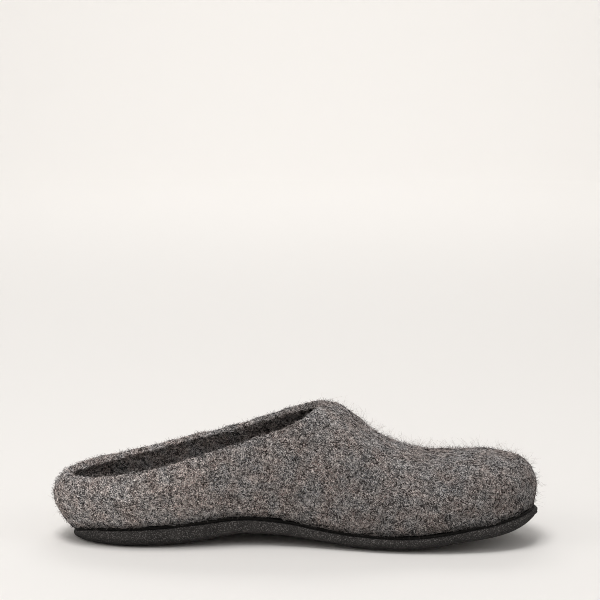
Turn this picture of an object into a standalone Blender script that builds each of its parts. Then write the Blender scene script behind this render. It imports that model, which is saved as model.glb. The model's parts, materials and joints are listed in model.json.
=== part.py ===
# Felt slipper: a low-backed house shoe for the left foot.
# A thick wool felt upper is one hollow shell, open at the collar and underneath.
# It stands on a thin black layer and a moulded charcoal sole, with a felt footbed inside.
# The toe points along +X, the inner side of the foot is -Y, and the floor is z = 0.

import math

import bmesh
import bpy
import numpy as np

MM = 0.001

# Driving sizes, in millimetres.
SOLE_LENGTH = 268.4
BALL_WIDTH = 91.0
HEEL_OVERHANG = 11.0  # how far the felt bulges behind the sole
COLLAR_BACK_HEIGHT = 39.1
THROAT_HEIGHT = 80.0
COLLAR_WIDTH = 73.0
FELT_WALL = 4.5
FELT_EDGE_ROUND = 1.7
BLACK_LAYER = 1.3
BLACK_SET_IN = 0.7
FOOTBED_THICKNESS = 5.0
FOOTBED_DISH = 1.2
FOOTBED_ROUND = 1.2
FOOTBED_CLEARANCE = 1.1  # from the felt's wall, at the floor
BLEND_WIDTH = 60.0  # over which the sole's inner side turns into its outer side
GAP = 0.3  # between pieces that touch

SOLE_BACK_X = HEEL_OVERHANG - (SOLE_LENGTH + HEEL_OVERHANG) / 2

# How finely each form is sampled.
SOLE_STATIONS = 40
SOLE_STRIPS = 5
UPPER_STATIONS = 28
UPPER_ROWS = 7

# Widest outline of the sole, from the middle of the heel's back to the tip of the toe.
# along: share of the sole's length; inner, outer: shares of the ball width.
OUTLINE_COLUMNS = ("along", "inner", "outer")
OUTLINE_ROWS = (
    (0.000, 0.000, 0.000),
    (0.015, 0.159, 0.159),
    (0.045, 0.247, 0.247),
    (0.093, 0.319, 0.319),
    (0.168, 0.352, 0.352),
    (0.261, 0.335, 0.357),
    (0.373, 0.297, 0.374),
    (0.466, 0.324, 0.412),
    (0.559, 0.390, 0.473),
    (0.652, 0.462, 0.511),
    (0.727, 0.489, 0.511),
    (0.801, 0.489, 0.473),
    (0.876, 0.462, 0.390),
    (0.931, 0.401, 0.286),
    (0.969, 0.313, 0.154),
    (0.991, 0.203, 0.011),
    (1.000, 0.099, -0.099),
)

# The sole's edges, a row for each section along its length. Heights and insets in millimetres.
# seam: height of the line between felt and sole, on the inner and the outer side.
# base: height of the sole's bottom at its inner edge, its middle and its outer edge.
# top_in, base_in: how far the side's top and bottom edges lie inside the widest outline.
# felt_in: how far the felt's bottom edge lies inside it.
SOLE_COLUMNS = (
    "along", "seam_inner", "seam_outer", "base_inner", "base_mid", "base_outer",
    "top_in", "base_in", "felt_in",
)
SOLE_ROWS = (
    (0.000, 4.6, 4.6, 0.2, 0.2, 0.2, -0.4, 0.4, -1.7),
    (0.014, 6.9, 6.9, 0.2, 0.1, 0.2, -0.2, 1.6, -1.5),
    (0.050, 9.7, 9.7, 0.2, 0.0, 0.2, 0.0, 2.4, -1.2),
    (0.090, 10.4, 10.4, 0.2, 0.0, 0.2, 0.0, 3.0, -0.6),
    (0.220, 12.8, 12.0, 1.4, 0.0, 0.5, 0.0, 3.0, 0.2),
    (0.290, 14.7, 12.6, 3.8, 1.8, 1.6, 0.0, 2.8, 0.2),
    (0.370, 16.4, 12.6, 7.4, 4.6, 3.2, 0.0, 2.6, 0.2),
    (0.450, 14.9, 11.6, 6.4, 3.4, 2.6, 0.0, 2.8, 0.2),
    (0.540, 11.2, 10.2, 3.6, 0.9, 1.8, 0.0, 3.0, 0.0),
    (0.600, 9.6, 9.4, 2.3, 0.0, 1.8, 0.0, 3.2, -0.2),
    (0.700, 9.0, 9.0, 2.0, 0.0, 2.0, 0.0, 3.4, -0.4),
    (0.770, 10.8, 10.8, 3.9, 2.3, 3.9, 0.0, 3.0, -0.2),
    (0.840, 13.9, 13.9, 6.2, 5.2, 6.2, 0.2, 2.2, 0.4),
    (0.900, 16.5, 16.5, 8.3, 7.8, 8.3, 0.7, 1.2, 1.0),
    (0.950, 19.0, 19.0, 11.6, 11.3, 11.6, 1.6, 0.4, 1.8),
    (0.982, 20.6, 20.6, 15.2, 15.0, 15.2, 2.4, 0.1, 2.7),
    (1.000, 21.4, 21.4, 17.8, 17.8, 17.8, 2.9, 0.0, 3.1),
)

# The sole's side from its base up: share of its height, and how much of the draw is left.
SIDE_ROWS = ((0.0, 1.0), (0.22, 0.45), (0.6, 0.0), (1.0, 0.0))

# The collar's rim, from the back of the heel to the front of the throat.
# x in millimetres; half: share of the collar's width; rise: share of the way up to the throat.
RIM_COLUMNS = ("x", "half", "rise")
RIM_ROWS = (
    (-133.8, 0.000, 0.000),
    (-131.5, 0.125, 0.003),
    (-127.5, 0.222, 0.008),
    (-120.5, 0.322, 0.022),
    (-106.5, 0.428, 0.067),
    (-92.5, 0.475, 0.132),
    (-79.0, 0.498, 0.202),
    (-70.0, 0.500, 0.258),
    (-58.0, 0.480, 0.341),
    (-44.0, 0.438, 0.440),
    (-30.0, 0.405, 0.550),
    (-16.0, 0.395, 0.657),
    (-6.0, 0.370, 0.750),
    (1.0, 0.325, 0.812),
    (7.0, 0.258, 0.868),
    (11.5, 0.180, 0.918),
    (14.5, 0.100, 0.962),
    (16.0, 0.000, 1.000),
)

# The vamp's ridge, from the throat to the middle of the toe cap, and the shape of the
# sections that hang from it. ridge: height; shift: how far the ridge lies towards the inner side.
RIDGE_COLUMNS = ("x", "ridge", "shift")
RIDGE_ROWS = (
    (16.0, 80.0, 0.0),
    (21.4, 77.3, 0.0),
    (26.0, 71.1, 0.3),
    (30.6, 66.0, 0.6),
    (39.8, 59.2, 1.5),
    (48.9, 55.6, 2.4),
    (58.1, 53.4, 3.3),
    (67.3, 51.8, 4.1),
    (76.4, 49.9, 4.9),
    (85.5, 50.2, 5.6),
    (94.5, 51.0, 6.3),
    (103.5, 52.0, 7.0),
    (112.6, 50.5, 7.6),
    (118.0, 49.2, 8.0),
)

# Which crest point each part of the seam rises to, all in millimetres from the shoe's middle.
# Between the last two rows the seam's points fan round the toe cap to one crest point.
CREST_COLUMNS = ("seam_x", "crest_x")
CREST_ROWS = (
    (-131.0, -133.8),
    (-110.0, -111.0),
    (-80.0, -81.0),
    (-50.0, -50.0),
    (-25.0, -26.5),
    (-12.0, -15.0),
    (-2.0, -6.5),
    (6.0, 0.5),
    (13.0, 5.5),
    (20.0, 10.0),
    (27.0, 13.6),
    (34.0, 16.5),
    (43.0, 27.0),
    (56.0, 46.0),
    (72.0, 67.0),
    (95.0, 94.0),
    (116.0, 118.0),
    (140.0, 118.0),
)

# Roundness of the sections (1 is a straight wall, 2 an ellipse) and how far they belly out.
BODY_COLUMNS = ("seam_x", "round", "belly_inner", "belly_outer")
BODY_ROWS = (
    (-131.0, 1.00, 9.7, 9.7),
    (-118.0, 1.00, 8.4, 8.4),
    (-95.0, 1.00, 5.8, 5.8),
    (-60.0, 1.00, 5.0, 5.2),
    (-30.0, 1.05, 5.4, 5.4),
    (-10.0, 1.15, 5.8, 5.6),
    (5.0, 1.35, 5.6, 5.6),
    (15.0, 1.75, 5.2, 5.4),
    (25.0, 2.15, 4.8, 5.0),
    (34.0, 2.35, 4.6, 4.8),
    (45.0, 2.30, 4.6, 4.8),
    (60.0, 2.20, 4.6, 4.8),
    (80.0, 2.25, 4.2, 4.4),
    (95.0, 2.40, 3.8, 4.2),
    (118.0, 2.95, 2.8, 3.2),
    (140.0, 3.50, 2.0, 2.0),
)

# How the belly is spread over the height of a wall, and over that of an arched section.
BELLY_COLUMNS = ("height", "wall", "arch")
BELLY_ROWS = (
    (0.00, 0.00, 0.00),
    (0.10, 0.30, 0.42),
    (0.20, 0.57, 0.74),
    (0.32, 0.82, 0.98),
    (0.45, 0.96, 1.00),
    (0.60, 1.00, 0.84),
    (0.75, 0.90, 0.56),
    (0.88, 0.60, 0.26),
    (1.00, 0.00, 0.00),
)

# Colour (linear), roughness and metallic value of each material.
FELT_LOOK = ((0.142, 0.124, 0.117, 1.0), 0.95, 0.0)
FOOTBED_LOOK = ((0.110, 0.098, 0.092, 1.0), 0.95, 0.0)
BLACK_LOOK = ((0.010, 0.009, 0.009, 1.0), 0.85, 0.0)
SOLE_LOOK = ((0.034, 0.033, 0.034, 1.0), 0.70, 0.0)


def read_table(columns, rows):
    """Each named column of a table as an array."""
    return {name: np.array(values, float) for name, values in zip(columns, zip(*rows))}


OUTLINE = read_table(OUTLINE_COLUMNS, OUTLINE_ROWS)
SOLE = read_table(SOLE_COLUMNS, SOLE_ROWS)
RIM = read_table(RIM_COLUMNS, RIM_ROWS)
RIDGE = read_table(RIDGE_COLUMNS, RIDGE_ROWS)
CREST = read_table(CREST_COLUMNS, CREST_ROWS)
BODY = read_table(BODY_COLUMNS, BODY_ROWS)
BELLY = read_table(BELLY_COLUMNS, BELLY_ROWS)


def smooth(at, knots, values):
    """Cubic through the knots that never swings past them, held level beyond the ends."""
    steps = np.diff(knots)
    slopes = np.diff(values) / steps
    tangents = np.zeros(len(knots))
    for i in range(1, len(knots) - 1):
        before, after = slopes[i - 1], slopes[i]
        if before * after > 0:
            tangents[i] = 2 * before * after / (before + after)
    tangents[0], tangents[-1] = slopes[0], slopes[-1]
    at = np.clip(at, knots[0], knots[-1])
    i = np.clip(np.searchsorted(knots, at) - 1, 0, len(steps) - 1)
    t = (at - knots[i]) / steps[i]
    start = values[i] * (1 + 2 * t) * (1 - t) ** 2 + tangents[i] * steps[i] * t * (1 - t) ** 2
    end = values[i + 1] * t * t * (3 - 2 * t) + tangents[i + 1] * steps[i] * t * t * (t - 1)
    return start + end


def closed_curve(points, per_span=24):
    """A smooth closed curve through the points, as many short steps."""
    count = len(points)
    curve = []
    for i in range(count):
        a, b, c, d = (points[(i + k) % count] for k in (-1, 0, 1, 2))
        ab, bc, cd = (math.sqrt(np.linalg.norm(q - p)) for p, q in ((a, b), (b, c), (c, d)))
        for t in np.linspace(0, bc, per_span, endpoint=False):
            p = (a * (0 - t) + b * (t + ab)) / ab
            q = (b * (bc - t) + c * t) / bc
            r = (c * (bc + cd - t) + d * (t - bc)) / cd
            pq = (p * (bc - t) + q * (t + ab)) / (ab + bc)
            qr = (q * (bc + cd - t) + r * t) / (bc + cd)
            curve.append((pq * (bc - t) + qr * t) / bc)
    return np.array(curve)


def outline_sides(stations):
    """The widest outline as two rows of points, inner and outer, from heel back to toe tip."""
    x = SOLE_BACK_X + OUTLINE["along"] * SOLE_LENGTH
    inner = np.column_stack((x, -OUTLINE["inner"] * BALL_WIDTH))
    outer = np.column_stack((x, OUTLINE["outer"] * BALL_WIDTH))
    curve = closed_curve(np.vstack((inner, outer[-2:0:-1])))
    tip = np.argmin(np.linalg.norm(curve - inner[-1], axis=1))
    sides = []
    for side in (curve[: tip + 1], np.vstack((curve[tip:], curve[:1]))[::-1]):
        walked = np.concatenate(([0], np.cumsum(np.linalg.norm(np.diff(side, axis=0), axis=1))))
        marks = np.linspace(0, walked[-1], stations + 1)
        sides.append(np.column_stack([np.interp(marks, walked, side[:, k]) for k in (0, 1)]))
    return sides


def loop_of(sides):
    """Both sides as one loop, heel back, inner side, toe tip, outer side."""
    return np.vstack((sides[0], sides[1][-2:0:-1]))


def sides_of(loop):
    """The two sides again, from a loop."""
    stations = len(loop) // 2
    return loop[: stations + 1], np.vstack((loop[stations:], loop[:1]))[::-1]


def inset(loop, distance):
    """The loop moved inwards by a distance for each point."""
    tangent = np.roll(loop, -1, axis=0) - np.roll(loop, 1, axis=0)
    tangent /= np.linalg.norm(tangent, axis=1)[:, None]
    inward = np.column_stack((-tangent[:, 1], tangent[:, 0]))
    return loop + inward * np.reshape(distance, (-1, 1))


def along(x):
    """Share of the sole's length at x."""
    return (x - SOLE_BACK_X) / SOLE_LENGTH


def sole_value(x, name):
    return smooth(along(x), SOLE["along"], SOLE[name])


def across(plan, inner, outer):
    """A sole column at plan points, blended from the inner side's value to the outer side's."""
    share = np.clip(0.5 + plan[..., 1] / BLEND_WIDTH, 0, 1)
    share = share * share * (3 - 2 * share)
    x = plan[..., 0]
    return sole_value(x, inner) * (1 - share) + sole_value(x, outer) * share


def seam_height(plan):
    return across(plan, "seam_inner", "seam_outer")


def raised(plan, height):
    """Plan points with a height each."""
    return np.concatenate((plan, np.broadcast_to(height, plan.shape[:-1])[..., None]), axis=-1)


def bridged(loop, strips):
    """Rows of plan points from the inner to the outer side of a loop, a row for each station."""
    inner, outer = sides_of(loop)
    shares = np.linspace(0, 1, strips + 1)[None, :, None]
    return inner[:, None] * (1 - shares) + outer[:, None] * shares


def middle_weight(strips):
    """How much of the middle's height each point of a row has: none at the edges."""
    shares = np.linspace(0, 1, strips + 1)
    return np.clip(np.minimum(shares, 1 - shares) * strips, 0, 1)


def add_patch(mesh, rows, upwards):
    """Faces over rows of points, one row for each station."""
    for a, b in zip(rows[:-1], rows[1:]):
        for k in range(len(a) - 1):
            corners = [a[k], b[k], b[k + 1], a[k + 1]]
            verts = [mesh.verts.new(in_metres(p)) for p in corners]
            mesh.faces.new(verts if upwards else verts[::-1])


def add_walls(mesh, loops):
    """Faces between one loop of points and the next one up, facing outwards."""
    for low, high in zip(loops[:-1], loops[1:]):
        count = len(low)
        for i in range(count):
            j = (i + 1) % count
            corners = [low[i], low[j], high[j], high[i]]
            mesh.faces.new([mesh.verts.new(in_metres(p)) for p in corners])


def in_metres(point):
    return tuple(float(value) * MM for value in point)


def finish_mesh(mesh, name, look, collection):
    """Joins the faces' corners and makes the object with its own material."""
    bmesh.ops.remove_doubles(mesh, verts=mesh.verts[:], dist=0.02 * MM)
    bmesh.ops.dissolve_degenerate(mesh, edges=mesh.edges[:], dist=0.01 * MM)
    data = bpy.data.meshes.new(name)
    mesh.to_mesh(data)
    mesh.free()
    material = bpy.data.materials.new(name + "_material")
    material.use_nodes = True
    shader = material.node_tree.nodes["Principled BSDF"]
    colour, roughness, metallic = look
    shader.inputs["Base Color"].default_value = colour
    shader.inputs["Roughness"].default_value = roughness
    shader.inputs["Metallic"].default_value = metallic
    material.diffuse_color = colour
    data.materials.append(material)
    data.shade_smooth()
    data.set_sharp_from_angle(angle=math.radians(45))
    obj = bpy.data.objects.new(name, data)
    collection.objects.link(obj)
    return obj


def make_outsole(collection):
    """Moulded sole: arch, toe spring, sides that draw in towards the floor."""
    loop = loop_of(outline_sides(SOLE_STATIONS))
    top_in = sole_value(loop[:, 0], "top_in")
    base_in = sole_value(loop[:, 0], "base_in")
    top_z = seam_height(inset(loop, top_in)) - BLACK_LAYER / 2 - GAP
    base_z = across(inset(loop, base_in), "base_inner", "base_outer")
    loops = []
    for row in SIDE_ROWS:
        up, draft = row
        edge = inset(loop, base_in * draft + top_in * up)
        loops.append(raised(edge, base_z + (top_z - base_z) * up))
    mesh = bmesh.new()
    add_walls(mesh, loops)
    top = bridged(loops[-1][:, :2], SOLE_STRIPS)
    top = raised(top, seam_height(top) - BLACK_LAYER / 2 - GAP)
    add_patch(mesh, top, upwards=True)
    base = bridged(loops[0][:, :2], SOLE_STRIPS)
    edge_z = across(base, "base_inner", "base_outer")
    middle_z = sole_value(base[..., 0], "base_mid")
    weight = middle_weight(SOLE_STRIPS)
    base = raised(base, edge_z + (middle_z - edge_z) * weight)
    add_patch(mesh, base, upwards=False)
    return finish_mesh(mesh, "outsole", SOLE_LOOK, collection)


def make_midsole(collection):
    """Thin black layer between sole and felt, set in a little so that it shows as a dark line."""
    loop = loop_of(outline_sides(SOLE_STATIONS))
    edge = inset(loop, sole_value(loop[:, 0], "top_in") + BLACK_SET_IN)
    plan = bridged(edge, SOLE_STRIPS)
    half = BLACK_LAYER / 2
    mesh = bmesh.new()
    add_walls(mesh, [raised(edge, seam_height(edge) - half), raised(edge, seam_height(edge) + half)])
    add_patch(mesh, raised(plan, seam_height(plan) + half), upwards=True)
    add_patch(mesh, raised(plan, seam_height(plan) - half), upwards=False)
    return finish_mesh(mesh, "midsole", BLACK_LOOK, collection)


def make_insole(collection):
    """Felt footbed that fills the floor of the upper, a little dished."""
    loop = loop_of(outline_sides(SOLE_STATIONS))
    set_in = sole_value(loop[:, 0], "felt_in") + FELT_WALL + FOOTBED_CLEARANCE
    edge = inset(loop, set_in)
    brow = inset(loop, set_in + FOOTBED_ROUND)
    floor = BLACK_LAYER / 2 + GAP
    low = raised(edge, seam_height(edge) + floor)
    side_top = raised(edge, seam_height(edge) + floor + FOOTBED_THICKNESS - FOOTBED_ROUND)
    high = raised(brow, seam_height(brow) + floor + FOOTBED_THICKNESS)
    mesh = bmesh.new()
    add_walls(mesh, [low, side_top, high])
    top = bridged(brow, SOLE_STRIPS)
    shares = np.linspace(-1, 1, SOLE_STRIPS + 1)
    top = raised(top, seam_height(top) + floor + FOOTBED_THICKNESS - FOOTBED_DISH * (1 - shares**2))
    add_patch(mesh, top, upwards=True)
    base = bridged(edge, SOLE_STRIPS)
    add_patch(mesh, raised(base, seam_height(base) + floor), upwards=False)
    return finish_mesh(mesh, "insole", FOOTBED_LOOK, collection)


def crest_points(seam_x, side):
    """For each station, the point of the rim or of the ridge that its section rises to."""
    crest_x = smooth(seam_x, CREST["seam_x"], CREST["crest_x"])
    throat = np.argmin(np.abs(crest_x - RIM["x"][-1]))
    crest_x[throat] = RIM["x"][-1]
    rim_y = side * smooth(crest_x, RIM["x"], RIM["half"]) * COLLAR_WIDTH
    rise = smooth(crest_x, RIM["x"], RIM["rise"])
    rim_z = COLLAR_BACK_HEIGHT + (THROAT_HEIGHT - COLLAR_BACK_HEIGHT) * rise
    ridge_y = -smooth(crest_x, RIDGE["x"], RIDGE["shift"])
    ridge_z = smooth(crest_x, RIDGE["x"], RIDGE["ridge"])
    on_rim = np.arange(len(crest_x)) < throat
    y = np.where(on_rim, rim_y, ridge_y)
    z = np.where(on_rim, rim_z, ridge_z)
    return np.column_stack((crest_x, y, z))


def section(start, crest, outward, roundness, belly):
    """Points of one section of the upper, from the seam up to its crest."""
    arched = min(1.0, (roundness - 1.0) / 0.8)
    angles = np.linspace(0, math.pi / 2, UPPER_ROWS + 1)
    up = np.sin(angles) ** (2 / roundness)
    over = 1 - np.clip(np.cos(angles), 0, 1) ** (2 / roundness)
    wall = smooth(up, BELLY["height"], BELLY["wall"])
    arch = smooth(up, BELLY["height"], BELLY["arch"])
    out = belly * (wall * (1 - arched) + arch * arched)
    plan = start[:2] + np.outer(over, crest[:2] - start[:2]) + np.outer(out, outward)
    return raised(plan, start[2] + (crest[2] - start[2]) * up)


def upper_side(seam, outward, middle_x, side):
    """The sections of one side, from the back of the heel to the tip of the toe."""
    crest = crest_points(middle_x, side)
    roundness = smooth(middle_x, BODY["seam_x"], BODY["round"])
    bellies = BODY["belly_inner"] if side < 0 else BODY["belly_outer"]
    belly = smooth(middle_x, BODY["seam_x"], bellies)
    parts = zip(seam, crest, outward, roundness, belly)
    return np.array([section(*part) for part in parts])


def make_upper(collection):
    """Felt shell: an open surface through the sections, thickened inwards."""
    loop = loop_of(outline_sides(UPPER_STATIONS))
    edge = inset(loop, sole_value(loop[:, 0], "felt_in"))
    seam = sides_of(raised(edge, seam_height(edge) + BLACK_LAYER / 2 + GAP))
    outward = sides_of(edge - inset(edge, 1.0))
    middle_x = (seam[0][:, 0] + seam[1][:, 0]) / 2
    inner = upper_side(seam[0], outward[0], middle_x, -1)
    outer = upper_side(seam[1], outward[1], middle_x, 1)
    sections = np.vstack((inner, outer[-2:0:-1]))
    mesh = bmesh.new()
    add_walls(mesh, [sections[:, k] for k in range(UPPER_ROWS + 1)])
    upper = finish_mesh(mesh, "upper", FELT_LOOK, collection)
    rounding = upper.modifiers.new("Smooth felt", "SUBSURF")
    rounding.levels = 1
    rounding.render_levels = 1
    wall = upper.modifiers.new("Felt wall", "SOLIDIFY")
    wall.thickness = FELT_WALL * MM
    wall.offset = -1
    edge_round = upper.modifiers.new("Rounded edges", "BEVEL")
    edge_round.width = FELT_EDGE_ROUND * MM
    edge_round.segments = 2
    edge_round.limit_method = "ANGLE"
    edge_round.angle_limit = math.radians(55)
    return upper


def clear_scene():
    for obj in list(bpy.data.objects):
        bpy.data.objects.remove(obj, do_unlink=True)


def main():
    clear_scene()
    slipper = bpy.data.collections.new("felt_slipper")
    bpy.context.scene.collection.children.link(slipper)
    make_outsole(slipper)
    make_midsole(slipper)
    make_insole(slipper)
    make_upper(slipper)


main()
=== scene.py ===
# Felt slipper: wool upper, felt footbed, black layer and speckled charcoal sole, with painted light
# and shade on the felt and rubber; the black layer is partly a real thin layer and partly painted
# crease shade.
# Metres throughout: the toe points along +X, the inner side of the foot is -Y, the floor is z = 0.
import json
import math
import random

import bmesh
import bpy
import numpy as np
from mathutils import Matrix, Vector, noise

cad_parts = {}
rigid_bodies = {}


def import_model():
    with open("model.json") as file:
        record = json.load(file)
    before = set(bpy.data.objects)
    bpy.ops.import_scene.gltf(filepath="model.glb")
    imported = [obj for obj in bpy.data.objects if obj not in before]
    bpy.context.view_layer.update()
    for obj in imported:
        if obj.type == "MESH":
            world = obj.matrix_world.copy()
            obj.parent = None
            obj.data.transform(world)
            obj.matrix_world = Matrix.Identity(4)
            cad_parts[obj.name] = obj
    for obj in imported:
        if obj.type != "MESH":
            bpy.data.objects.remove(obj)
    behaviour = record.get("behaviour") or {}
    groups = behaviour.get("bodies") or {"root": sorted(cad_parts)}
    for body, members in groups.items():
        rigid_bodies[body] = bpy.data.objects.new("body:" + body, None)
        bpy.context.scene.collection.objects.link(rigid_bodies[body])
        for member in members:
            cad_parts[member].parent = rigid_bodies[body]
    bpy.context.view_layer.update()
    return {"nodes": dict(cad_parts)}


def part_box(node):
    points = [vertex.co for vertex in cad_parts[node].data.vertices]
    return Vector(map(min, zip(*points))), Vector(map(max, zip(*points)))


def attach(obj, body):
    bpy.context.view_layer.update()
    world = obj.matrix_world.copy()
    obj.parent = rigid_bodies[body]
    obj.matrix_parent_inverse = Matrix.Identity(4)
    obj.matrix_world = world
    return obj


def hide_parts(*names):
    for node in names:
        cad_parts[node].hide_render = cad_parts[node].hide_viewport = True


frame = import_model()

scene = bpy.context.scene
mm = 0.001


# Mesh helpers

def newObject(name, data):
    obj = bpy.data.objects.new(name, data)
    scene.collection.objects.link(obj)
    return obj


def newMesh(name, bm):
    data = bpy.data.meshes.new(name)
    bm.to_mesh(data)
    bm.free()
    return data


def makePlain(obj):
    # what the modifiers make becomes the object's own mesh
    bpy.context.view_layer.update()
    evaluated = obj.evaluated_get(bpy.context.evaluated_depsgraph_get())
    data = bpy.data.meshes.new_from_object(evaluated)
    obj.modifiers.clear()
    obj.data = data


def quadCopy(node, name):
    # a merged copy of a solid, its triangles joined back to quads
    bm = bmesh.new()
    bm.from_mesh(frame["nodes"][node].data)
    bmesh.ops.remove_doubles(bm, verts=bm.verts[:], dist=0.02 * mm)
    bmesh.ops.join_triangles(
        bm, faces=bm.faces[:],
        angle_face_threshold=math.radians(40), angle_shape_threshold=math.radians(60),
    )
    for face in bm.faces:
        face.smooth = True
    data = newMesh(name, bm)
    data.materials.clear()
    return newObject(name, data)


def refine(obj, levels):
    smoothing = obj.modifiers.new("Refine", "SUBSURF")
    smoothing.levels = levels
    smoothing.render_levels = levels
    makePlain(obj)


def pointsOf(obj):
    flat = np.empty(len(obj.data.vertices) * 3, np.float32)
    obj.data.vertices.foreach_get("co", flat)
    return flat.reshape(-1, 3).astype(float)


def normalsOf(obj):
    flat = np.empty(len(obj.data.vertices) * 3, np.float32)
    obj.data.vertices.foreach_get("normal", flat)
    return flat.reshape(-1, 3).astype(float)


def movePoints(obj, points):
    obj.data.vertices.foreach_set("co", points.astype(np.float32).reshape(-1))
    obj.data.update()


def setAttribute(obj, name, values):
    attribute = obj.data.attributes.new(name, "FLOAT", "POINT")
    attribute.data.foreach_set("value", np.asarray(values, np.float32))


def ease(values, low, high):
    share = np.clip((values - low) / (high - low), 0, 1)
    return share * share * (3 - 2 * share)


def sliceOf(points):
    # the number of the 3 mm slice along the foot in which each point lies
    return np.round(points[:, 0] / (3 * mm)).astype(int)


def lumps(points, layers):
    # soft unevenness: each layer is a lump's size and its height
    total = np.zeros(len(points))
    for size, height in layers:
        shift = Vector((7.3, 3.1, 5.7))
        total += [height * noise.noise(Vector(p) / size + shift) for p in points]
    return total


# Material helpers

wideNoise = (0.3, 0.7)  # nearly all of a noise's values
midNoise = (0.36, 0.64)  # the middle ones, for a clearer change


def newMaterial(name, **sockets):
    material = bpy.data.materials.new(name)
    material.use_nodes = True
    tree = material.node_tree
    shader = tree.nodes["Principled BSDF"]
    for socket, value in sockets.items():
        shader.inputs[socket.replace("_", " ")].default_value = value
    return material, tree, shader


def addNode(tree, kind, inputs, **settings):
    # a node with its settings, and its inputs by name or number: a value, or another node's output
    node = tree.nodes.new(kind)
    for key, value in settings.items():
        setattr(node, key, value)
    for key, value in inputs.items():
        if isinstance(value, bpy.types.NodeSocket):
            tree.links.new(value, node.inputs[key])
        else:
            node.inputs[key].default_value = value
    return node


def mathNode(tree, operation, a, b=0.0):
    node = addNode(tree, "ShaderNodeMath", {0: a, 1: b}, operation=operation, use_clamp=False)
    return node.outputs[0]


def shiftedCoords(tree, shift):
    where = tree.nodes.get("Where") or addNode(tree, "ShaderNodeTexCoord", {}, name="Where")
    away = (shift, -shift, 2 * shift)
    moved = addNode(tree, "ShaderNodeVectorMath", {0: where.outputs["Object"], 1: away})
    return moved.outputs[0]


def noiseValue(tree, size, shift=0.0, detail=2.0, roughness=0.5, distortion=0.0):
    inputs = {
        "Vector": shiftedCoords(tree, shift), "Scale": 1 / size, "Detail": detail,
        "Roughness": roughness, "Distortion": distortion,
    }
    return addNode(tree, "ShaderNodeTexNoise", inputs).outputs[0]


def remap(tree, value, low, high, toLow=0.0, toHigh=1.0):
    inputs = {"Value": value, "From Min": low, "From Max": high, "To Min": toLow, "To Max": toHigh}
    return addNode(tree, "ShaderNodeMapRange", inputs, interpolation_type="SMOOTHSTEP").outputs[0]


def mixColour(tree, share, a, b, blend="MIX"):
    node = addNode(tree, "ShaderNodeMix", {0: share, 6: a, 7: b}, data_type="RGBA", blend_type=blend)
    return node.outputs[2]


def strands(tree, size, width, shift):
    # thin wavy lines where a noise crosses its middle, broken into short lengths by a second noise
    wavy = noiseValue(tree, size, shift, detail=1.5, distortion=0.6)
    away = mathNode(tree, "ABSOLUTE", mathNode(tree, "SUBTRACT", wavy, 0.5))
    line = remap(tree, away, 0.0, width, 1.0, 0.0)
    pieces = remap(tree, noiseValue(tree, size * 1.3, shift + 0.7, detail=0.0), 0.42, 0.58)
    return mathNode(tree, "MULTIPLY", line, pieces)


def strongest(tree, values):
    total = values[0]
    for value in values[1:]:
        total = mathNode(tree, "MAXIMUM", total, value)
    return total


# Camera, paper sweep and lights

studio = {
    "cameraPlace": (0.0019, -1.1281, 0.2958),
    "cameraTilt": 82.0,  # degrees, 90 looks level
    "lens": 120.0,
    "floorRadius": 2.6,
    "bendRadius": 1.0,
    "bendSteps": 12,
    "sides": 96,
    "wallHeight": 2.2,
    "paper": (0.875, 0.853, 0.831, 1.0),
    "sky": (1.0, 0.995, 0.985, 1.0),
    "skyStrength": 0.25,
}

softboxes = [  # name, place, the point it faces, size, watts, colour
    ("keyBox", (-1.5, -0.6, 0.9), (0, 0, 0), 1.0, 5.0, (1.0, 0.985, 0.96)),
    ("fillBox", (1.5, -0.6, 0.9), (0, 0, 0), 1.0, 4.0, (1.0, 1.0, 1.0)),
    ("frontBox", (-0.2, -1.35, 1.8), (0, 0, 0), 1.4, 5.0, (1.0, 1.0, 1.0)),
    ("topBox", (-0.3, -0.45, 2.1), (0, 0, 0), 0.8, 21.5, (1.0, 0.995, 0.985)),
    ("backBox", (0.0, 2.2, 2.0), (0, 2.6, 0), 1.8, 28.0, (1.0, 0.995, 0.98)),
]


def makeStudio():
    camera = bpy.data.cameras.new("camera")
    camera.lens = studio["lens"]
    camera.sensor_width = 36.0
    holder = newObject("camera", camera)
    holder.location = studio["cameraPlace"]
    holder.rotation_euler = (math.radians(studio["cameraTilt"]), 0, 0)
    scene.camera = holder
    scene.view_settings.view_transform = "Standard"
    scene.cycles.filter_width = 1.0  # pixels: keeps fibres crisp
    scene.cycles.denoising_prefilter = "NONE"  # keeps the felt's fine grain
    world = bpy.data.worlds.new("sky")
    scene.world = world
    world.use_nodes = True
    background = world.node_tree.nodes["Background"]
    background.inputs["Color"].default_value = studio["sky"]
    background.inputs["Strength"].default_value = studio["skyStrength"]
    for name, place, aim, size, watts, colour in softboxes:
        light = bpy.data.lights.new(name, "AREA")
        light.size = size
        light.energy = watts
        light.color = colour
        lamp = newObject(name, light)
        lamp.location = place
        lamp.rotation_euler = (Vector(aim) - Vector(place)).to_track_quat("-Z", "Y").to_euler()
    makeSweep()


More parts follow.
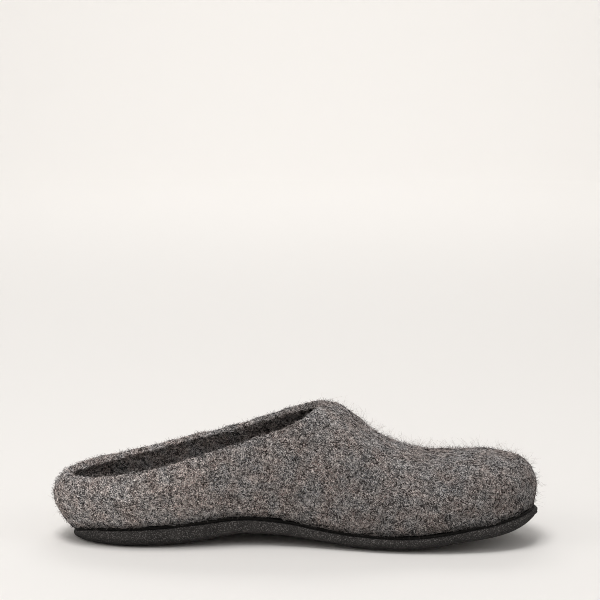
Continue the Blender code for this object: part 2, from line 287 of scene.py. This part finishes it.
def makeSweep():
    # a round paper floor that curves up into a wall on all sides
    radius, bend = studio["floorRadius"], studio["bendRadius"]
    profile = [(radius, 0.0)]
    for step in range(1, studio["bendSteps"] + 1):
        angle = math.radians(90) * step / studio["bendSteps"]
        profile.append((radius + bend * math.sin(angle), bend * (1 - math.cos(angle))))
    profile.append((radius + bend, studio["wallHeight"]))
    sides = studio["sides"]
    bm = bmesh.new()
    rings = []
    for r, z in profile:
        turns = [2 * math.pi * k / sides for k in range(sides)]
        rings.append([bm.verts.new((r * math.cos(t), r * math.sin(t), z)) for t in turns])
    bm.faces.new(rings[0])
    for low, high in zip(rings[:-1], rings[1:]):
        for k in range(sides):
            j = (k + 1) % sides
            bm.faces.new((low[k], high[k], high[j], low[j]))
    for face in bm.faces:
        face.smooth = len(face.verts) == 4
    material, _, shader = newMaterial("palePaper", Roughness=0.9)
    shader.inputs["Specular IOR Level"].default_value = 0.1
    shader.inputs["Base Color"].default_value = studio["paper"]
    sweep = newObject("paperSweep", newMesh("paperSweep", bm))
    sweep.data.materials.append(material)


makeStudio()
print("studio ready")


# Felt finish

wool = {
    "warm": (0.240, 0.185, 0.170, 1.0),
    "cool": (0.183, 0.185, 0.193, 1.0),
    "pale": (0.62, 0.575, 0.55, 1.0),
    "dark": (0.012, 0.010, 0.010, 1.0),
    "blotchSize": 11 * mm,
    "cloudSize": 6.05 * mm,
    "cloudTones": (0.80, 1.20),
    "strandSizes": (1.1 * mm, 0.9 * mm, 1.4 * mm),
    "strandWidth": 0.08,
    "paleStrength": 0.75,
    "darkStrength": 0.85,
    "grainSize": 0.6 * mm,
    "grainTones": (0.30, 1.65),
    "reliefHeight": 0.35 * mm,
    "fibreToneSize": 1.6 * mm,
    "warmTint": (1.03, 0.99, 0.975, 1.0),
    "coolTint": (0.97, 1.0, 1.03, 1.0),
}


def paintedLightAndShade(tree):
    # painted light and shade at each place, from the numbers set on the mesh
    return addNode(tree, "ShaderNodeAttribute", {}, attribute_name="tone").outputs["Fac"]


def woolBlotch(tree):
    # 0 where the wool is warm and 1 where it is cool
    return remap(tree, noiseValue(tree, wool["blotchSize"], detail=3.0), *midNoise)


def feltMaterial(name):
    material, tree, shader = newMaterial(name, Roughness=0.95)
    shader.inputs["Specular IOR Level"].default_value = 0.15
    shader.inputs["Sheen Weight"].default_value = 0.12
    shader.inputs["Sheen Roughness"].default_value = 0.5
    base = mixColour(tree, woolBlotch(tree), wool["warm"], wool["cool"])
    cloud = remap(tree, noiseValue(tree, wool["cloudSize"], 3.3), *wideNoise, *wool["cloudTones"])
    base = mixColour(tree, 1.0, base, cloud, "MULTIPLY")
    width = wool["strandWidth"]
    sizes = wool["strandSizes"]
    pale = strongest(tree, [strands(tree, size, width, 1.0 + k) for k, size in enumerate(sizes)])
    dark = strongest(tree, [strands(tree, size, 1.5 * width, 5.0 + k) for k, size in enumerate(sizes)])
    darkShare = mathNode(tree, "MULTIPLY", dark, wool["darkStrength"])
    colour = mixColour(tree, darkShare, base, wool["dark"])
    paleShare = mathNode(tree, "MULTIPLY", pale, wool["paleStrength"])
    colour = mixColour(tree, paleShare, colour, wool["pale"])
    fine = noiseValue(tree, wool["grainSize"], 9.0, detail=1.0)
    grain = remap(tree, fine, *midNoise, *wool["grainTones"])
    colour = mixColour(tree, 1.0, colour, grain, "MULTIPLY")
    # the painted light and shade is multiplied into the felt's colour
    colour = mixColour(tree, 1.0, colour, paintedLightAndShade(tree), "MULTIPLY")
    tree.links.new(colour, shader.inputs["Base Color"])
    height = mathNode(tree, "SUBTRACT", pale, mathNode(tree, "MULTIPLY", dark, 0.8))
    height = mathNode(tree, "ADD", height, mathNode(tree, "MULTIPLY", grain, 0.4))
    relief = {"Height": height, "Strength": 0.8, "Distance": wool["reliefHeight"]}
    tree.links.new(addNode(tree, "ShaderNodeBump", relief).outputs[0], shader.inputs["Normal"])
    return material


def fibreMaterial(name, colour, spread, shine=0.3):
    # one colour of fibre, varied along the felt and tinted like the felt under it
    material, tree, shader = newMaterial(name, Roughness=0.75)
    shader.inputs["Specular IOR Level"].default_value = shine
    varied = noiseValue(tree, wool["fibreToneSize"], 2.0, detail=0.0)
    tone = remap(tree, varied, *wideNoise, 1 - spread, 1 + spread)
    # each fibre takes the painted light and shade of the felt under it
    tone = mathNode(tree, "MULTIPLY", tone, paintedLightAndShade(tree))
    tint = mixColour(tree, woolBlotch(tree), wool["warmTint"], wool["coolTint"])
    tinted = mixColour(tree, 1.0, colour, tint, "MULTIPLY")
    toned = mixColour(tree, 1.0, tinted, tone, "MULTIPLY")
    tree.links.new(toned, shader.inputs["Base Color"])
    return material


# Felt upper: the solid refined, with hand-felted unevenness and soft folds

upperLook = {
    "refineLevels": 2,
    "lumps": ((32 * mm, 0.9 * mm), (12 * mm, 0.55 * mm), (4.5 * mm, 0.22 * mm)),
    "calmHeight": 4 * mm,  # the felt lies calm up to here above its bottom edge
    "calmNearSeam": 6 * mm,  # height over which the unevenness then grows
    "calmShare": 0.35,
    "topFoldsAbove": 35 * mm,
    "ridgeAway": 1.9,  # a fold's ridges, as shares of its width and depth
    "ridgeShare": 0.45,
    "coreEnd": 95 * mm,  # a line inside the shell, from -coreEnd to coreEnd along the foot
    "coreHeight": 28 * mm,
    "facingCore": (-0.25, 0.15),
    "heelToToe": (-130 * mm, 90 * mm),  # each pair says where a change begins and where it ends
    # painted light and shade: paler at the heel and where the toe faces up, darker towards the toe and
    # low down
    "heelPaintedLight": 1.56,
    "toePaintedShade": 0.88,
    "lowPaintedShade": 0.98,
    "lowToHigh": (12 * mm, 36 * mm),
    "topPaintedLight": 1.30,
    "topFacing": (0.3, 0.9),
    "topFrom": (0, 30 * mm),
    # painted shade deep inside the shell, also on the footbed
    "insidePaintedShade": 0.35,
    # painted shade along the felt's bottom edge, in the crease above the black layer
    "seamPaintedShade": 0.35,
    "seamRange": (0.5 * mm, 4.8 * mm),
    "deepBelowRim": (3 * mm, 18 * mm),
    "liningFront": 22 * mm,  # the lining shows behind this line and above this height
    "liningLowest": 14 * mm,
    "clump": ((3.4 * mm, 1.0),),
    "leastShown": 0.15,
    "mostShown": 1.9,
    "downAllOver": 0.75,
    "downAtRim": 1.8,
    "rimRange": (1 * mm, 6 * mm),
    "hairsAllOver": 0.04,
    "hairsAtFront": 0.6,  # as a share of the hairs over the instep and toe
    "hairsHeight": (30 * mm, 48 * mm),
    "hairsFrom": (10 * mm, 45 * mm),
    "frontRange": (100 * mm, 130 * mm),
}

# Soft folds: the side they lie on, their path (x and z on a side, x and y on the top),
# how wide and how deep they are. A trough has a low ridge along each edge.
softFolds = [
    ("inner", ((78, 25), (92, 22), (106, 23), (118, 26)), 3.5, 0.55),
    ("inner", ((28, 58), (36, 48), (40, 38), (38, 30)), 6.0, 0.7),
    ("inner", ((56, 40), (70, 34), (86, 33)), 6.0, 0.4),
    ("inner", ((-62, 36), (-48, 32), (-36, 33)), 5.0, 0.4),
    ("inner", ((-118, 24), (-98, 22), (-74, 24)), 4.0, 0.35),
    ("inner", ((0, 30), (14, 25), (30, 24)), 5.0, 0.35),
    ("outer", ((74, 26), (92, 23), (112, 25)), 3.5, 0.5),
    ("outer", ((26, 58), (38, 46), (44, 34)), 6.0, 0.6),
    ("outer", ((-100, 26), (-70, 25), (-44, 28)), 5.0, 0.4),
    ("top", ((34, -16), (38, 0), (33, 17)), 5.0, 0.5),
    ("top", ((72, -22), (76, -4), (72, 14)), 7.0, 0.4),
]


def foldHeight(points):
    total = np.zeros(len(points))
    for side, path, width, depth in softFolds:
        axes = (0, 1) if side == "top" else (0, 2)
        plane = points[:, axes] / mm
        near = np.full(len(points), 1e9)
        for start, end in zip(np.array(path[:-1], float), np.array(path[1:], float)):
            run = end - start
            share = np.clip((plane - start) @ run / (run @ run), 0, 1)
            near = np.minimum(near, np.linalg.norm(plane - start - share[:, None] * run, axis=1))
        if side == "top":
            here = points[:, 2] > upperLook["topFoldsAbove"]
        else:
            here = points[:, 1] < 0 if side == "inner" else points[:, 1] > 0
        trough = np.exp(-((near / width) ** 2))
        ridge = np.exp(-(((near - upperLook["ridgeAway"] * width) / width) ** 2))
        total += here * depth * mm * (upperLook["ridgeShare"] * ridge - trough)
    return total


def insideShare(points, normals):
    # 0 on the outer face of the shell and 1 on its inner face, which looks at the core line
    core = np.zeros((len(points), 3))
    core[:, 0] = np.clip(points[:, 0], -upperLook["coreEnd"], upperLook["coreEnd"])
    core[:, 2] = upperLook["coreHeight"]
    away = points - core
    away /= np.linalg.norm(away, axis=1)[:, None]
    return 1 - ease(np.sum(away * normals, axis=1), *upperLook["facingCore"])


def reach(points, inside):
    # the highest felt, and the lowest felt of the outer face, at the same place along the foot
    slot = sliceOf(points) * 2 + (points[:, 1] > 0)
    slot -= slot.min()
    top = np.zeros(slot.max() + 1)
    bottom = np.full(slot.max() + 1, 1.0)
    np.maximum.at(top, slot, points[:, 2])
    np.minimum.at(bottom, slot, points[:, 2] + inside)
    return top[slot], bottom[slot]


def paintedLightOf(points, normals, deep, aboveSeam):
    # painted light and shade: paler at the heel and where the toe faces up, painted shade low down, at
    # the seam and deep inside
    look = upperLook
    toToe = ease(points[:, 0], *look["heelToToe"])
    toHigh = ease(points[:, 2], *look["lowToHigh"])
    fromSeam = ease(aboveSeam, *look["seamRange"])
    tone = look["heelPaintedLight"] + (look["toePaintedShade"] - look["heelPaintedLight"]) * toToe
    tone *= look["lowPaintedShade"] + (1 - look["lowPaintedShade"]) * toHigh
    toeTop = ease(normals[:, 2], *look["topFacing"]) * ease(points[:, 0], *look["topFrom"])
    tone *= 1 + (look["topPaintedLight"] - 1) * toeTop
    tone *= look["seamPaintedShade"] + (1 - look["seamPaintedShade"]) * fromSeam
    return tone * (1 + (look["insidePaintedShade"] - 1) * deep)


def makeUpper():
    look = upperLook
    upper = quadCopy("upper", "feltUpper")
    refine(upper, look["refineLevels"])
    points, normals = pointsOf(upper), normalsOf(upper)
    inside = insideShare(points, normals)
    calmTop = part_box("upper")[0].z + look["calmHeight"]
    lively = ease(points[:, 2], calmTop, calmTop + look["calmNearSeam"])
    rise = lumps(points, look["lumps"]) * (look["calmShare"] + (1 - look["calmShare"]) * lively)
    rise += foldHeight(points) * (1 - inside)
    movePoints(upper, points + normals * rise[:, None])
    setAttribute(upper, "inside", inside)
    top, bottom = reach(points, inside)
    deep = inside * ease(top - points[:, 2], *look["deepBelowRim"])
    # the painted light and shade, kept on the mesh for the felt and its fibres
    setAttribute(upper, "tone", paintedLightOf(points, normals, deep, points[:, 2] - bottom))
    seen = inside * (points[:, 0] < look["liningFront"]) * (points[:, 2] > look["liningLowest"])
    clump = lumps(points, look["clump"])
    least, most = look["leastShown"], look["mostShown"]
    setAttribute(upper, "lining", seen * deep)
    shown = np.maximum(1 - inside, seen * (1 - deep))
    setAttribute(upper, "paleShown", shown * np.clip(1 + clump, least, most))
    setAttribute(upper, "darkShown", shown * np.clip(1 - clump, least, most))
    rim = (points[:, 0] < 0) * (1 - ease(top - points[:, 2], *look["rimRange"]))
    down = look["downAllOver"] + look["downAtRim"] * rim
    setAttribute(upper, "downy", (1 - inside) * down)
    over = ease(points[:, 2], *look["hairsHeight"]) * ease(points[:, 0], *look["hairsFrom"])
    front = ease(points[:, 0], *look["frontRange"])
    few = look["hairsAllOver"]
    hairs = few + (1 - few) * np.maximum(over, look["hairsAtFront"] * front)
    setAttribute(upper, "fuzz", (1 - inside) * hairs)
    upper.data.materials.append(feltMaterial("woolFelt"))
    return upper


upper = makeUpper()
print("felt upper ready:", len(upper.data.polygons), "faces")


# Wool fibres: small curved spindles strewn over a surface

def fibreMesh(name, path, radius):
    # a thin three-sided spindle along a path of points, closed to a point at both ends
    bm = bmesh.new()
    path = [Vector(p) for p in path]
    rings = []
    for k in range(1, len(path) - 1):
        along = (path[k + 1] - path[k - 1]).normalized()
        side = along.cross(Vector((0, 0, 1)) if abs(along.z) < 0.9 else Vector((1, 0, 0))).normalized()
        up = side.cross(along)
        slim = radius * math.sin(math.pi * k / (len(path) - 1)) ** 0.5
        turns = [2 * math.pi * t / 3 for t in range(3)]
        ring = [path[k] + slim * (math.cos(t) * side + math.sin(t) * up) for t in turns]
        rings.append([bm.verts.new(point) for point in ring])
    first, last = bm.verts.new(path[0]), bm.verts.new(path[-1])
    for t in range(3):
        n = (t + 1) % 3
        bm.faces.new((first, rings[0][t], rings[0][n]))
        bm.faces.new((last, rings[-1][n], rings[-1][t]))
        for a, b in zip(rings[:-1], rings[1:]):
            bm.faces.new((a[t], b[t], b[n], a[n]))
    bmesh.ops.recalc_face_normals(bm, faces=bm.faces[:])
    for face in bm.faces:
        face.smooth = True
    return newMesh(name, bm)


def lyingPath(rng):
    # a wavy fibre that lies on the felt: it comes out, bends over and goes back in
    bend, wave, lift = rng.uniform(-0.28, 0.28), rng.uniform(-0.1, 0.1), rng.uniform(0.03, 0.07)
    path = []
    for k in range(4):
        t = k / 3
        y = bend * math.sin(math.pi * t) + wave * math.sin(2 * math.pi * t)
        z = lift * math.sin(math.pi * t) - 0.02
        path.append((t - 0.5, y, z))
    return path


def fuzzPath(rng):
    # a short fibre end that stands up and leans over
    lean, bend = rng.uniform(0.3, 0.8), rng.uniform(-0.3, 0.3)
    path = []
    for k in range(4):
        t = k / 3
        path.append((lean * t * t, bend * t * t, (1 - 0.4 * lean * t) * t - 0.05))
    return path


def strayPath(rng):
    # a loose hair that stands out of the felt and curls over
    lean, curl, phase = rng.uniform(0.2, 0.9), rng.uniform(0.08, 0.22), rng.uniform(0, 6)
    path = []
    for k in range(7):
        t = k / 6
        x = lean * t ** 1.5 + curl * math.sin(5 * t + phase) * t
        y = curl * math.cos(4 * t + phase) * t
        z = (1 - 0.45 * lean * t) * t * 0.9 - 0.03
        path.append((x, y, z))
    return path


def fibreKinds(name, makePath, radius, seed):
    rng = random.Random(seed)
    kinds = bpy.data.collections.new(name)
    for k in range(fibreLook["kinds"]):
        one = fibreMesh(f"{name}{k}", makePath(rng), radius)
        kinds.objects.link(bpy.data.objects.new(one.name, one))
    return kinds


def scatterTree():
    tree = bpy.data.node_groups.new("strewFibres", "GeometryNodeTree")
    face = tree.interface
    face.new_socket("Geometry", in_out="INPUT", socket_type="NodeSocketGeometry")
    face.new_socket("Kinds", in_out="INPUT", socket_type="NodeSocketCollection")
    face.new_socket("Last kind", in_out="INPUT", socket_type="NodeSocketInt")
    for name in ("Per square metre", "Shortest", "Longest", "Tilt"):
        face.new_socket(name, in_out="INPUT", socket_type="NodeSocketFloat")
    face.new_socket("Where", in_out="INPUT", socket_type="NodeSocketString")
    face.new_socket("Seed", in_out="INPUT", socket_type="NodeSocketInt")
    face.new_socket("Finish", in_out="INPUT", socket_type="NodeSocketMaterial")
    face.new_socket("Geometry", in_out="OUTPUT", socket_type="NodeSocketGeometry")
    given = addNode(tree, "NodeGroupInput", {}).outputs
    where = addNode(
        tree, "GeometryNodeInputNamedAttribute", {"Name": given["Where"]}, data_type="FLOAT",
    )
    density = addNode(
        tree, "ShaderNodeMath", {0: where.outputs[0], 1: given["Per square metre"]},
        operation="MULTIPLY",
    )
    strewn = addNode(tree, "GeometryNodeDistributePointsOnFaces", {
        "Mesh": given["Geometry"], "Density": density.outputs[0], "Seed": given["Seed"],
    }, distribute_method="RANDOM")
    least = addNode(tree, "ShaderNodeCombineXYZ", {
        "X": mathNode(tree, "MULTIPLY", given["Tilt"], -1.0),
    })
    most = addNode(tree, "ShaderNodeCombineXYZ", {"X": given["Tilt"], "Z": 2 * math.pi})
    turn = addNode(tree, "FunctionNodeRandomValue", {
        "Min": least.outputs[0], "Max": most.outputs[0], "Seed": given["Seed"],
    }, data_type="FLOAT_VECTOR")
    euler = addNode(tree, "FunctionNodeEulerToRotation", {"Euler": turn.outputs[0]})
    facing = addNode(tree, "FunctionNodeRotateRotation", {
        "Rotation": strewn.outputs["Rotation"], "Rotate By": euler.outputs[0],
    }, rotation_space="LOCAL")
    length = addNode(tree, "FunctionNodeRandomValue", {
        2: given["Shortest"], 3: given["Longest"], "Seed": given["Seed"],
    }, data_type="FLOAT")
    kind = addNode(tree, "FunctionNodeRandomValue", {
        4: 0, 5: given["Last kind"], "Seed": given["Seed"],
    }, data_type="INT")
    kinds = addNode(tree, "GeometryNodeCollectionInfo", {
        "Collection": given["Kinds"], "Separate Children": True, "Reset Children": True,
    })
    placed = addNode(tree, "GeometryNodeInstanceOnPoints", {
        "Points": strewn.outputs["Points"], "Instance": kinds.outputs[0], "Pick Instance": True,
        "Instance Index": kind.outputs[2], "Rotation": facing.outputs[0], "Scale": length.outputs[1],
    })
    real = addNode(tree, "GeometryNodeRealizeInstances", {"Geometry": placed.outputs[0]})
    finish = addNode(tree, "GeometryNodeSetMaterial", {
        "Geometry": real.outputs[0], "Material": given["Finish"],
    })
    addNode(tree, "NodeGroupOutput", {0: finish.outputs[0]})
    return tree


strewFibres = scatterTree()


def strew(name, base, kinds, finish, seed, where, shortest, longest, tilt, perSquareMetre):
    # the fibres of one piece, their settings given to the tree's named inputs
    piece = newObject(name, base.data.copy())
    piece.data.materials.clear()
    modifier = piece.modifiers.new("Fibres", "NODES")
    modifier.node_group = strewFibres
    settings = {
        "Kinds": kinds, "Last kind": len(kinds.objects) - 1, "Per square metre": perSquareMetre,
        "Shortest": shortest, "Longest": longest, "Tilt": tilt, "Where": where, "Seed": seed,
        "Finish": finish,
    }
    items = strewFibres.interface.items_tree
    sockets = {item.name: item.identifier for item in items if item.in_out == "INPUT"}
    for key, value in settings.items():
        modifier[sockets[key]] = value
    makePlain(piece)
    piece.data.materials.clear()
    piece.data.materials.append(finish)
    print(name, "has", sum(len(p.vertices) - 2 for p in piece.data.polygons), "triangles")
    return piece


fibreLook = {
    "kinds": 8,  # different shapes of each fibre
    "paleThickness": 0.026,  # radii as shares of length
    "darkThickness": 0.052,
    "hairThickness": 0.0032,
    "fuzzThickness": 0.032,
    "pale": (0.56, 0.515, 0.495, 1.0),
    "grey": (0.200, 0.180, 0.172, 1.0),
    "dark": (0.026, 0.022, 0.021, 1.0),
    "stray": (0.40, 0.35, 0.33, 1.0),
    "paleSpread": 0.38,  # how far the colour varies from one fibre to the next
    "greySpread": 0.45,
    "darkSpread": 0.6,
    "straySpread": 0.3,
}

outside = 1 - np.array([a.value for a in upper.data.attributes["inside"].data])
setAttribute(upper, "outside", outside)
lying = fibreKinds("lyingFibre", lyingPath, fibreLook["paleThickness"], seed=4)
thick = fibreKinds("thickFibre", lyingPath, fibreLook["darkThickness"], seed=7)
fuzzy = fibreKinds("fuzzFibre", fuzzPath, fibreLook["fuzzThickness"], seed=9)
loose = fibreKinds("looseHair", strayPath, fibreLook["hairThickness"], seed=11)
paleWool = fibreMaterial("paleWool", fibreLook["pale"], fibreLook["paleSpread"])
greyWool = fibreMaterial("greyWool", fibreLook["grey"], fibreLook["greySpread"])
darkWool = fibreMaterial("darkWool", fibreLook["dark"], fibreLook["darkSpread"], shine=0.05)
strayWool = fibreMaterial("strayWool", fibreLook["stray"], fibreLook["straySpread"])

# Name, fibres, colour, seed, the attribute that says where, shortest and longest in mm,
# tilt in radians, and how many to a square metre.
fibrePieces = [
    ("paleFibres", lying, paleWool, 1, "paleShown", 1.8, 5.6, 0.12, 3.4e5),
    ("greyFibres", lying, greyWool, 2, "outside", 1.8, 5.6, 0.12, 1.6e5),
    ("darkFibres", thick, darkWool, 3, "darkShown", 1.6, 4.2, 0.12, 3.6e5),
    ("liningPale", lying, paleWool, 4, "lining", 1.8, 5.6, 0.12, 3.0e5),
    ("liningDark", thick, darkWool, 8, "lining", 1.6, 4.2, 0.12, 3.4e5),
    ("fineFuzz", fuzzy, greyWool, 7, "downy", 1.0, 3.0, 0.8, 3.0e5),
    ("strayHairs", loose, strayWool, 5, "fuzz", 2.2, 11.0, 0.8, 1.2e5),
]

woolPieces = []
for name, kinds, finish, seed, where, shortest, longest, tilt, number in fibrePieces:
    woolPieces.append(strew(
        name, upper, kinds, finish, seed, where, shortest * mm, longest * mm, tilt, number,
    ))


# Felt footbed

footbedLook = {
    "refineLevels": 2,
    "lumps": ((14 * mm, 0.3 * mm), (5 * mm, 0.12 * mm)),
    "shortest": 1.8 * mm,
    "longest": 5.6 * mm,
    "tilt": 0.12,
    "perSquareMetre": 2.0e5,
}


def makeFootbed():
    footbed = quadCopy("insole", "feltFootbed")
    refine(footbed, footbedLook["refineLevels"])
    points, normals = pointsOf(footbed), normalsOf(footbed)
    rise = lumps(points, footbedLook["lumps"])
    movePoints(footbed, points + normals * (rise * ease(normals[:, 2], 0.2, 0.9))[:, None])
    # painted shade inside the slipper, the same as deep on the felt's inner face
    setAttribute(footbed, "tone", np.full(len(points), upperLook["insidePaintedShade"]))
    setAttribute(footbed, "upward", ease(normals[:, 2], 0.5, 0.9))
    footbed.data.materials.append(feltMaterial("footbedFelt"))
    return footbed


footbed = makeFootbed()
footbedFibres = strew(
    "footbedFibres", footbed, lying, greyWool, 6, "upward", footbedLook["shortest"],
    footbedLook["longest"], footbedLook["tilt"], footbedLook["perSquareMetre"],
)
print("footbed ready")


# Moulded sole, and black layer that is partly painted crease shade

soleLook = {
    "charcoal": (0.0305, 0.0282, 0.0271, 1.0),
    "speck": (0.28, 0.265, 0.26, 1.0),
    "pit": (0.004, 0.004, 0.004, 1.0),
    "speckSize": 0.6 * mm,
    "speckRange": (0.56, 0.64),
    "speckStrength": 0.5,
    "pitSize": 0.84 * mm,
    "pitRange": (0.55, 0.70),
    "pitStrength": 0.7,
    "cloudSize": 9 * mm,
    "cloudTones": (0.8, 1.2),
    "reliefHeight": 0.2 * mm,
    "lowShade": 0.35,
    "shadeRange": (1.0 * mm, 8.0 * mm),
    "lowerRound": 3.2 * mm,
    "upperRound": 0.4 * mm,
    "black": (0.005, 0.0045, 0.004, 1.0),
    "blackCloudSize": 2 * mm,
    "blackCloudTones": (0.6, 1.5),
}


def soleMaterial():
    material, tree, shader = newMaterial("charcoalRubber", Roughness=0.8)
    shader.inputs["Specular IOR Level"].default_value = 0.3
    look = soleLook
    speckNoise = noiseValue(tree, look["speckSize"], 1.0, detail=1.0, roughness=0.6)
    specks = remap(tree, speckNoise, *look["speckRange"])
    pits = remap(tree, noiseValue(tree, look["pitSize"], 2.0, detail=2.0), *look["pitRange"])
    cloud = remap(tree, noiseValue(tree, look["cloudSize"], 3.0), *wideNoise, *look["cloudTones"])
    colour = mixColour(tree, 1.0, look["charcoal"], cloud, "MULTIPLY")
    pitShare = mathNode(tree, "MULTIPLY", pits, look["pitStrength"])
    colour = mixColour(tree, pitShare, colour, look["pit"])
    speckShare = mathNode(tree, "MULTIPLY", specks, look["speckStrength"])
    colour = mixColour(tree, speckShare, colour, look["speck"])
    # painted shade: the rubber is darker towards its lowest edge
    high = addNode(tree, "ShaderNodeAttribute", {}, attribute_name="high").outputs["Fac"]
    shade = remap(tree, high, 0.0, 1.0, look["lowShade"], 1.0)
    colour = mixColour(tree, 1.0, colour, shade, "MULTIPLY")
    tree.links.new(colour, shader.inputs["Base Color"])
    height = mathNode(tree, "SUBTRACT", specks, pits)
    relief = {"Height": height, "Strength": 0.6, "Distance": look["reliefHeight"]}
    tree.links.new(addNode(tree, "ShaderNodeBump", relief).outputs[0], shader.inputs["Normal"])
    return material


def blackAndCreaseShadeMaterial():
    material, tree, shader = newMaterial("blackLayer", Roughness=0.85)
    shader.inputs["Specular IOR Level"].default_value = 0.2
    clouds = noiseValue(tree, soleLook["blackCloudSize"], 1.0)
    tones = remap(tree, clouds, *wideNoise, *soleLook["blackCloudTones"])
    colour = mixColour(tree, 1.0, soleLook["black"], tones, "MULTIPLY")
    tree.links.new(colour, shader.inputs["Base Color"])
    return material


def heightAboveLowest(points):
    # how far each point lies above the lowest rubber at the same place along the foot
    slot = sliceOf(points)
    slot -= slot.min()
    low = np.full(slot.max() + 1, 1.0)
    np.minimum.at(low, slot, points[:, 2])
    return points[:, 2] - low[slot]


def makeSole():
    sole = quadCopy("outsole", "charcoalSole")
    bm = bmesh.new()
    bm.from_mesh(sole.data)
    for turned, width in ((-1, soleLook["lowerRound"]), (1, soleLook["upperRound"])):
        # the edges between a level face and a side face
        level = []
        for edge in bm.edges:
            flat = [turned * face.normal.z > 0.75 for face in edge.link_faces]
            if sorted(flat) == [False, True]:
                level.append(edge)
        bmesh.ops.bevel(bm, geom=level, offset=width, segments=3, profile=0.5, affect="EDGES")
    for face in bm.faces:
        face.smooth = True
    bm.to_mesh(sole.data)
    bm.free()
    refine(sole, 1)
    # height above the lowest rubber, for the painted shade at the sole's bottom
    height = heightAboveLowest(pointsOf(sole))
    setAttribute(sole, "high", ease(height, *soleLook["shadeRange"]))
    sole.data.materials.append(soleMaterial())
    return sole


sole = makeSole()
# the black layer: partly a thin black layer, partly painted shade in the crease between felt and sole
midsole = frame["nodes"]["midsole"]
midsole.data.materials.clear()
midsole.data.materials.append(blackAndCreaseShadeMaterial())
print("sole ready")


# What each piece rides on and stands for

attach(upper, "root")
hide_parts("upper")
for piece in woolPieces:
    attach(piece, "root")
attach(footbed, "root")
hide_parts("insole")
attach(footbedFibres, "root")
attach(sole, "root")
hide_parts("outsole")

for kinds in (lying, thick, fuzzy, loose):
    for kind in list(kinds.objects):
        bpy.data.objects.remove(kind)
    bpy.data.collections.remove(kinds)
